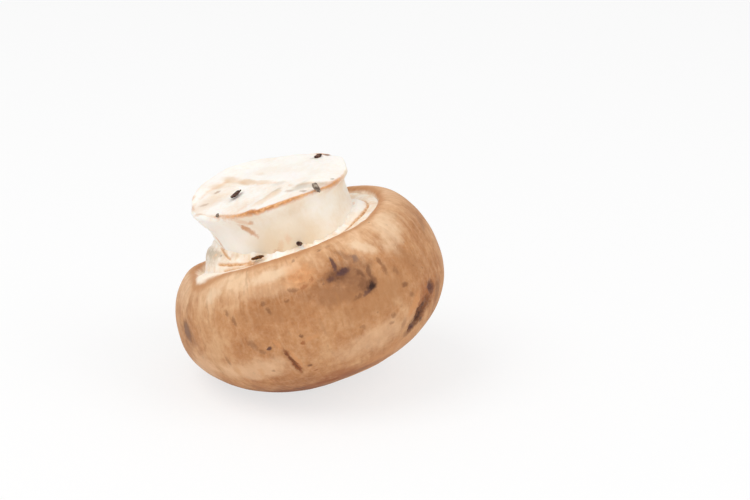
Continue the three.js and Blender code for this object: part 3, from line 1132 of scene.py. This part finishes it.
STEM_MARKS = marks_from(
    Spot.SIDE,
    (RUST, (-109.5, 17.3), 3.8, 1.1, -56, 0.75, 0.9, -0.05),
    (RUST, (-112, 18.1), 1.5, 0.9, -50, 0.5),
    (RUST, (-104, 18.7), 1.3, 0.9, 60, 0.5),
    (BUFF, (-110, 19.3), 3.6, 1.2, -40, 0.35),
    (BUFF, (-82, 13.8), 2.0, 1.2, 85, 0.3),
    (BUFF, (-89, 13.2), 1.6, 1.0, 70, 0.25),
    (RUST, (-93, 12.3), 1.8, 0.9, 0, 0.35),
    (BUFF, (-150, 15.5), 4.0, 0.9, -55, 0.6, 0.9),
    (OAT, (165, 17), 3.5, 1.5, 70, 0.6),
    (RUST, (75, 17.5), 3.0, 0.9, 60, 0.7, 0.8, -0.1),
    (BUFF, (110, 14), 4.0, 1.2, 90, 0.5),
) + marks_from(
    Spot.CUT,
    # On the cut face
    (OAT, (-6.6, 6.3), 4.6, 2.4, -52, 0.6),
    (OAT, (-3.8, 3.4), 4.6, 1.9, -51, 0.75),
    (OAT, (-0.6, 0.6), 4.0, 1.3, -40, 0.5),
    (OLIVE, (2.7, -3.0), 3.4, 1.8, -32, 0.22),
    (OAT, (-0.9, 5.5), 2.6, 1.5, -48, 0.25),
    (OAT, (-9.2, 4.8), 4.0, 2.8, -20, 0.5),
    (OAT, (-10.4, -2.0), 6.4, 4.6, 33, 0.4),
    (RUST, (-14.0, -1.6), 3.4, 0.8, -80, 0.5),
    (RUST, (-12.6, -6.2), 3.0, 0.7, -50, 0.45),
    (BUFF, (-13.8, 2.2), 2.2, 0.8, 80, 0.5),
    (RUST, (-7.7, -11.5), 5.0, 0.9, -32, 0.5),
    (TAN, (-9.2, 2.0), 1.7, 1.0, 51, 0.6, 1.0, -0.05, 0.1),
    (TAN, (-11.6, -2.4), 1.9, 1.0, -30, 0.45),
    (OAT, (1.6, -8.0), 4.2, 2.4, 56, 0.6),
    (OLIVE, (2.4, -6.6), 2.6, 1.3, 56, 0.3),
    (OAT, (-0.6, -10.8), 3.4, 1.8, 39, 0.5),
    (TAN, (4.6, -9.0), 2.2, 1.1, -45, 0.4),
    (OLIVE, (6.8, -8.2), 3.8, 2.8, 36, 0.5),
    (OLIVE, (9.4, -8.6), 3.6, 1.8, 20, 0.4),
    (BRUISE, (7.2, -10.8), 1.4, 1.0, -26, 0.5, 1.0, -0.1, 0.15),
    (RUST, (11.4, -8.4), 6.0, 2.2, 30, 0.3),
    (OLIVE, (12.2, -6.2), 0.8, 0.8, 0, 0.7, 0.8),
    (PEAT, (-5.4, -3.3), 4.0, 1.4, 58, 0.3),
    (RUST, (10.6, 9.6), 4.4, 1.0, -48, 0.8, 0.8),
    (GREY, (11.4, 8.4), 2.4, 0.7, -50, 0.8, 0.8),
    (OLIVE, (9.4, 8.4), 2.2, 1.2, 15, 0.5),
)


@dataclass
class Stem:
    """The stem: waisted, flared at the cut, and cut across at a slant in more than one stroke."""

    lie: Lie
    segments: int = 280
    offset: float = 0.5
    foot: float = 3.8
    cut_height: float = 21.7
    radius: float = 12.9
    cut_radius: float = 14.4
    fall_right: float = 5.5
    fall_front: float = 3.5
    twist: float = 0.5
    stroke_step: float = 0.32
    wandering: float = 0.5
    stroke: Outline = field(default_factory=lambda: [
        (-12.5, 1.5), (-10.4, 4.0), (-7.5, 6.9), (-5.4, 5.2), (-3.2, 2.5), (0.4, 0.0), (4.0, -2.6), (5.6, -7.2),
        (7.2, -7.0), (8.6, -7.3), (11.5, -8.2), (14.5, -8.6),
    ])
    ridge: Outline = field(default_factory=lambda: [(3.6, -3.8), (3.0, -6.0), (0.9, -9.4), (-1.2, -11.6), (-2.0, -14)])
    facet: Outline = field(default_factory=lambda: [(-6.5, 2.4), (-4.3, 0.9), (-0.6, -1.0), (0.8, -3.2), (0.2, -5.4)])

    def length(self) -> float:
        """Returns the stem's length before the slanting cut."""
        return self.cut_height - self.foot

    def outline(self) -> Outline:
        """Returns the stem's section from the middle of its foot to the middle of its cut face, from height 0."""
        length, radius, cut = self.length(), self.radius, self.cut_radius
        waist, edge = (radius, length * 0.72), (cut, length - 0.45)
        under = straight((0, 0), (radius, 0), 3)
        side = bezier([(radius, 0), (radius + 0.3, length * 0.3), (radius + 0.1, length * 0.5), waist], 34)
        flare = bezier([waist, (radius, length * 0.84), (cut - 0.4, length * 0.9), edge], 20)
        lip = bezier([edge, (cut + 0.03, length - 0.15), (cut, length), (cut - 0.25, length)], 5)
        return [(0, 0), *under, *side, *flare, *lip, *straight(lip[-1], (0, length), 48)]

    def on_face(self, point: Vector) -> bool:
        """Tells whether a point of the upright stem is on the flat of the cut."""
        return point.z > self.length() - 0.01

    def grain(self, point: Vector) -> Vector:
        """Returns the direction round the stem, and mm from the cut's edge: down the side, or minus inwards."""
        azimuth = azimuth_of(point)
        from_edge = point.to_2d().length - self.cut_radius if self.on_face(point) else self.length() - point.z
        return Vector((math.cos(azimuth), math.sin(azimuth), from_edge))

    def crooked(self, point: Vector) -> Vector:
        """Returns a point of the cut face in the place of the strokes' lines, pushed about so that they wander."""
        return point + Vector((self.offset, 0, 0)) + self.wandering * noise.noise_vector(point / 1.5)

    def sliced(self, point: Vector) -> Vector:
        """Returns how rusty the cut's rim is, how much tan lies along the step between the strokes and beside the rim
        below it, partly a smear and partly painted shade, and how much of the upper stroke a point is.
        """
        azimuth, from_edge = azimuth_of(point), self.grain(point).z
        front = swellings(azimuth, (-90, 38, 1), (-34, 24, 0.65), (150, 40, 0.3))
        wide = 1.15 + 0.35 * wander(point, 2.5, 1) + 0.3 * swelling(azimuth, -32, 14)
        rim = min(front, 1) * max(0, 1 - abs(from_edge - 0.2) / wide)
        if not self.on_face(point):
            return Vector((rim, 0, 0))
        away = from_line(self.crooked(point), self.stroke)
        # Tan along the step between the strokes: partly a smear, partly painted shade on the step's slope.
        smear_and_step_shade = 0.45 * max(0, 1 - abs(away + 0.4) / 1.4) * (1 + wander(point, 2.2, 9))
        smear_and_step_shade = max(smear_and_step_shade, 0.5 * ease(from_edge, -2.2, -0.2) * ease(away, 0.3, -0.3))
        return Vector((rim, smear_and_step_shade, ease(away, -0.8, 0.6)))

    def dropped(self, azimuth: float, radius: float) -> float:
        """Returns how far the cut rolls down towards its edge, which it does most on the right."""
        rolled = swellings(azimuth, (-22, 32, 1.5), (186, 20, 0.5), (116, 24, -0.45))
        return rolled * ease(radius, 10.2, self.cut_radius)

    def shaped(self, point: Vector, normal: Vector) -> Vector:
        """Returns a point of the upright stem with its fluting, its overhanging lip and the steps of its cut."""
        azimuth, length = azimuth_of(point), self.length()
        around = point.to_2d().normalized().to_3d()
        radius = point.to_2d().length
        near_edge = ease(radius, self.cut_radius - 1.5, self.cut_radius) * ease(point.z, length - 2.5, length - 0.5)
        side = 0.2 * wander(point, 6, 1) + 0.05 * wander(around * 13 + point * 0.2, 2.6, 2)
        side += (0.2 * wander(around * 14, 3.0, 3) + 0.1 * wander(around * 14, 1.0, 4)) * near_edge
        lip = ease(point.z, length - 6.5, length - 1.4) * ease(radius, 9, 12.5)
        side += 0.85 * swelling(azimuth, 197, 36) * lip * (1 - 0.6 * ease(point.z, length - 0.9, length))
        side += 0.3 * swelling(azimuth, 208, 9) * ease(abs(point.z - length + 2.6), 1.3, 0)
        up = -self.dropped(azimuth, radius) * ease(point.z, length - 4, length - 0.3)
        if point.z > length - 0.6:
            flat = self.crooked(point)
            right = from_line(flat, self.ridge)
            planes = self.stroke_step * ease(from_line(flat, self.stroke), -0.8, 0.7) - 0.12
            planes += 0.3 * hump(right, 0, 0.5 if right > 0 else 1.6)
            planes += 0.14 * hump(from_line(flat, self.facet), 0, 0.5)
            planes += 0.1 * wander(point, 3, 5) + 0.04 * wander(point, 0.9, 6)
            up += planes * ease(point.z, length - 0.6, length)
        return point + around * side * ease(radius, 9, 12.5) + AXIS * up

    def cut(self, point: Vector, normal: Vector) -> Vector:
        """Returns where a point of the upright stem goes when its top is cut at a slant."""
        slant = ease(point.z, self.length() * 0.6, self.length())
        twist = 2 * self.twist * point.x * point.y / self.cut_radius**2
        fall = math.tan(math.radians(self.fall_right)) * point.x - math.tan(math.radians(self.fall_front)) * point.y
        return Vector((point.x + self.offset, point.y, self.foot + point.z - slant * (fall + twist)))

    def build(self) -> None:
        """Models and dresses the stem."""
        piece = spun("stem_flesh", self.outline(), self.segments)
        marked(piece, "grain", self.grain)
        marked(piece, "cut", self.sliced)
        moved(piece, self.shaped)
        moved(piece, self.cut)
        marks = Marks(STEM_MARKS, surface_of(piece))
        moved(piece, marks.worn)
        set_down(piece, self.lie, StemFlesh().material(marks, self.lie), "stem_flesh", "stem")


@dataclass(frozen=True)
class Fold:
    """A fold in the veil: its two ends, each an azimuth in degrees and a radius in mm, its width and its depth."""

    start: tuple[float, float]
    end: tuple[float, float]
    width: float
    amount: float

    def depth(self, degrees: float, radius: float) -> float:
        """Returns how deep in the fold a place is, from 0 to the fold's amount."""
        share = (degrees - self.start[0]) / (self.end[0] - self.start[0])
        line = self.start[1] + (self.end[1] - self.start[1]) * share
        ends = ease(share, -0.1, 0.15) * ease(share, 1.1, 0.85)
        return self.amount * ends * hump(radius, line, self.width)


VEIL_FOLDS = [
    Fold((-147, 15.0), (-113, 13.9), 0.36, 1.0),
    Fold((-138, 15.9), (-109, 14.8), 0.34, 0.9),
    Fold((-160, 15.9), (-146, 16.6), 0.3, 0.35),
    Fold((-128, 13.5), (-108, 13.4), 0.3, 0.4),
    Fold((-104, 15.0), (-84, 14.6), 0.25, 0.35),
    Fold((-153, 12.6), (-134, 13.8), 0.3, 0.8),
    Fold((120, 15.4), (156, 14.6), 0.35, 0.7),
    Fold((38, 15.6), (74, 14.8), 0.3, 0.5),
]


@dataclass
class Veil:
    """The torn veil: a ring in the cap's groove that climbs the stem, stretched into a tent on the left."""

    lie: Lie
    growth: Growth
    stem_radius: float = 12.9
    edge: float = 1.6
    rise: float = 1.7
    tent_rise: float = 3.6
    tent_belly: float = 1.7
    tent_azimuth: float = 185.0
    tent_spread: float = 36.0
    inner: float = 11.6
    outer: float = 17.2
    segments: int = 420

    def floor(self) -> float:
        """Returns the height of the veil's underside."""
        return self.growth.groove_floor + 0.2

    def outline(self) -> Outline:
        """Returns the ring's section, from its inner edge underneath, out and back up to the stem."""
        floor = self.floor()
        rim, foot = (self.outer, floor + self.edge), (self.stem_radius, floor + self.edge + self.rise)
        top = bezier([rim, (self.outer - 1.7, rim[1]), (self.stem_radius + 0.8, rim[1]), foot], 30)
        return [(self.inner, floor), (self.outer, floor), rim, *top, (self.inner, foot[1] + 0.5)]

    def crease(self, azimuth: float) -> float:
        """Returns the radius of the crease where the cap's lip meets the inner tissue."""
        around = outward(azimuth)
        right = 1.1 * swelling(azimuth, 5, 30)
        return 14.6 + right + 0.35 * wander(around * 15, 4, 1) + 0.12 * wander(around * 15, 1.2, 2)

    def folds(self, radius: float, azimuth: float) -> float:
        """Returns how deep in a fold of the tissue a place is, from 0 to 1."""
        around = outward(azimuth)
        crooked = radius + 0.22 * wander(around * 15, 2.4, 3) + 0.08 * wander(around * 15, 0.9, 4)
        return max(fold.depth(math.degrees(azimuth), crooked) for fold in VEIL_FOLDS)

    def creased(self, radius: float, azimuth: float) -> float:
        """Returns how deep in the crease a place is, from 0 to 1."""
        deep = 0.35 + 0.65 * swelling(azimuth, -18, 34)
        return deep * hump(radius, self.crease(azimuth), 0.34)

    def tissue(self, point: Vector) -> Vector:
        """Returns how dry the tissue is at a point, how sheer and so greyish with painted shade from behind, and how
        white.
        """
        azimuth, radius = azimuth_of(point), point.to_2d().length
        around = outward(azimuth)
        dry = max(self.creased(radius, azimuth), 0.95 * self.folds(radius, azimuth))
        dry = max(dry, 0.8 * swelling(azimuth, -114, 9) * hump(radius, 14.6, 1.1))
        dry = max(dry, 0.45 * swelling(azimuth, -122, 26) * ease(radius, 13.6, 14.6))
        dry = max(dry, 0.5 * ease(wander(point, 2.6, 6), 0.25, 0.6))
        # Sheer upper web, greyish with painted shade of the hollow behind it.
        thin_shade = swelling(azimuth, -162, 17) * ease(radius, 13.0, 13.6) * ease(radius, 16.0, 14.8)
        white = swelling(azimuth, 4, 22) * ease(radius, 15.6, 14.6)
        rags = wander(around * 14 + AXIS * radius * 0.4, 1.5, 7)
        white = max(white, ease(rags, 0.0, 0.3) * ease(radius, 14.8, 14.0) * (1 - swelling(azimuth, -150, 36)))
        white = max(white, swelling(azimuth, -172, 22) * ease(radius, 15.8, 16.6))
        return Vector((dry, thin_shade, white))

    def shaped(self, point: Vector, normal: Vector) -> Vector:
        """Returns a point of the ring, grown, folded, drawn up on the left and ragged along the stem."""
        azimuth, radius = azimuth_of(point), point.to_2d().length
        floor = self.floor()
        around = outward(azimuth)
        slope = ease(radius, self.outer - 0.5, self.stem_radius)
        top = ease(point.z, floor, floor + self.edge)
        tent = self.tent_rise * slope + self.tent_belly * 4 * slope * (1 - slope)
        up = tent * swelling(azimuth, self.tent_azimuth, self.tent_spread) - self.growth.rise(azimuth) * slope
        rags = wander(around * 14 + AXIS * radius * 0.35, 1.6, 3) + 0.5 * wander(around * 14 + AXIS * radius, 0.6, 4)
        torn = 1 - 0.8 * swelling(azimuth, -150, 36)
        up += 0.42 * torn * rags * ease(radius, 15.2, 13.4)
        up += 0.08 * torn * wander(around * 40 + AXIS * radius * 0.5, 1.3, 5) * ease(radius, 17.1, 16.2)
        up += 0.2 * (1 - torn) * wander(around * 15 + AXIS * radius, 2.2, 8) * ease(radius, 17.1, 16.2)
        up += 0.2 * hump(radius, 16.2, 0.7) - 0.35 * self.creased(radius, azimuth)
        up += 1.2 * swelling(azimuth, -4, 22) * hump(radius, 14.2, 1.0)
        up -= 0.42 * self.folds(radius, azimuth)
        joined = 0.35 * ease(radius, 16.3, 17.1)
        return self.growth.grown(point) + around * joined + AXIS * top * up

    def grain(self, point: Vector) -> Vector:
        """Returns the direction round the ring, and mm in from its outer edge."""
        return point.to_2d().normalized().to_3d() + AXIS * (self.outer - point.to_2d().length)

    def build(self) -> None:
        """Models and dresses the veil."""
        piece = spun("veil_membrane", self.outline(), self.segments, closed=True)
        marked(piece, "grain", self.grain)
        marked(piece, "tissue", self.tissue)
        moved(piece, self.shaped)
        set_down(piece, self.lie, Membrane().material(), "veil", "veil")


@dataclass(frozen=True)
class Crumb:
    """One crumb: its kind of peat, how it is shifted from the frame's lump in mm, and how it is stretched."""

    kind: Peat
    shift: tuple[float, float, float] = (0, 0, 0)
    stretch: tuple[float, float, float] = (1, 1, 1)


DAMP = Peat("peat_damp", "#2A1B18", "#4A332C", "#71564A")
DRY = Peat("peat_dry", "#564840", "#8A7B6D", "#B5A796")
BROWN = Peat("peat_brown", "#3F2415", "#68401F", "#95643B")


@dataclass
class PeatCrumbs:
    """The crumbs of peat stuck to the mushroom, one piece for each."""

    lie: Lie
    lump: float = 0.16
    grit: float = 0.08
    crumbs: list[Crumb] = field(default_factory=lambda: [
        Crumb(DAMP), Crumb(DAMP, (0.1, -0.6, 0)), Crumb(DRY, (0.2, 0.2, -0.45), (1, 1, 1.5)), Crumb(DRY),
        Crumb(DAMP, (0, 0, 0.3), (0.8, 1, 1)), Crumb(BROWN),
    ])

    def crumb(self, number: int, crumb: Crumb) -> None:
        """Models one crumb on the plain lump that the frame has for it, and dresses it.

        Args:
            number: which crumb, from 1.
            crumb: what it is like.
        """
        node = f"peat_crumb_{number}"
        mesh = frame["nodes"][node].data.copy()
        mesh.name = f"crumb_{number}"
        mesh.transform(self.lie.up)
        piece = bpy.data.objects.new(mesh.name, mesh)
        bpy.context.scene.collection.objects.link(piece)
        with editing(piece):
            bpy.ops.mesh.select_all(action="SELECT")
            bpy.ops.mesh.remove_doubles(threshold=0.01)
            bpy.ops.mesh.subdivide(number_cuts=5, smoothness=0.8)
            bpy.ops.mesh.normals_make_consistent(inside=False)
        middle = sum((vertex.co for vertex in mesh.vertices), Vector()) / len(mesh.vertices)

        def crumbly(point: Vector, normal: Vector) -> Vector:
            """Returns a point of the crumb with its lumps and grit."""
            lumps = self.lump * wander(point, 0.9, number) + self.grit * wander(point, 0.35, number)
            rough = point + normal * (lumps + 0.5 * self.grit * wander(point, 0.16, number)) - middle
            return middle + rough * Vector(crumb.stretch) + Vector(crumb.shift)

        moved(piece, crumbly)
        set_down(piece, self.lie, crumb.kind.material(), "peat", node)

    def build(self) -> None:
        """Models and dresses the crumbs."""
        for number, crumb in enumerate(self.crumbs, 1):
            self.crumb(number, crumb)


# --- The stage ---


@dataclass
class Stage:
    """The floor, the lamps, the world and the camera."""

    lie: Lie
    lens: float = 100.0
    distance: float = 383.7
    elevation: float = 20.0
    aim_right: float = 12.25
    aim_up: float = 7.37
    sky: float = 0.58
    floor_size: float = 6.0
    floor_drop: float = 0.05
    floor_glow: float = 0.7

    def floor(self) -> None:
        """Adds a pale floor that keeps the mushroom's shadow."""
        bpy.ops.object.select_all(action="DESELECT")
        bpy.ops.mesh.primitive_plane_add(size=self.floor_size, location=(0, 0, -self.floor_drop * MM))
        floor = bpy.context.object
        floor.name = "floor"
        nodes = Nodes("floor_white")
        nodes.shade(Base_Color=tone("#FAFAFA"), Roughness=0.9, Specular_IOR_Level=0.1)
        glow = nodes.result("ShaderNodeEmission", inputs={"Strength": 1.0})
        plain = Value(nodes, nodes.shader.outputs[0])
        mix = nodes.result("ShaderNodeMixShader", inputs={0: nodes.seen() * self.floor_glow, 1: plain, 2: glow})
        nodes.feed(nodes.tree.nodes["Material Output"].inputs[0], mix)
        floor.data.materials.append(nodes.owner)

    def lamp(self, name: str, place: tuple[float, float, float], size: float, power: float) -> None:
        """Adds a square lamp that faces the mushroom.

        Args:
            name: its name.
            place: where it hangs, in metres.
            size: its side, in metres.
            power: in watts.
        """
        bpy.ops.object.light_add(type="AREA", location=place)
        lamp = bpy.context.object
        lamp.name = name
        lamp.data.size = size
        lamp.data.energy = power
        aim = Vector((0, 0, 0.02)) - Vector(place)
        lamp.rotation_euler = aim.to_track_quat("-Z", "Y").to_euler()

    def world(self) -> None:
        """Makes the world a soft white light, and plain white where it is seen."""
        nodes = Nodes("studio", world=True)
        nodes.shade(Color=(1, 1, 1, 1), Strength=nodes.seen() * (1 - self.sky) + self.sky)
        bpy.context.scene.world = nodes.owner

    def camera(self) -> None:
        """Adds the camera, a little above the mushroom and to its right."""
        data = bpy.data.cameras.new("camera")
        data.lens = self.lens
        data.clip_start = 0.01
        camera = bpy.data.objects.new("camera", data)
        bpy.context.scene.collection.objects.link(camera)
        turn = Matrix.Rotation(math.radians(90 - self.elevation), 4, "X")
        right, up, back = (turn.col[axis].to_3d() for axis in range(3))
        middle = self.lie.down.translation
        place = middle + (right * self.aim_right + up * self.aim_up + back * self.distance) * MM
        camera.matrix_world = Matrix.Translation(place) @ turn
        bpy.context.scene.camera = camera

    def build(self) -> None:
        """Builds the whole stage."""
        self.floor()
        self.world()
        self.lamp("key", (-0.4, -0.25, 0.78), 0.6, 2.9)
        self.lamp("front", (0.05, -0.85, 0.35), 0.6, 1.0)
        self.lamp("right", (0.6, -0.25, 0.65), 0.6, 1.8)
        self.camera()
        bpy.context.scene.view_settings.view_transform = "Standard"


def main() -> None:
    """Builds the mushroom and its stage."""
    logging.basicConfig(level=logging.INFO, format="%(name)s: %(message)s")
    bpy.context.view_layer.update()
    lie = Lie()
    growth = Growth()
    Cap(lie, growth).build()
    Stem(lie).build()
    Veil(lie, growth).build()
    PeatCrumbs(lie).build()
    Stage(lie).build()


if __name__ == "__main__":
    main()
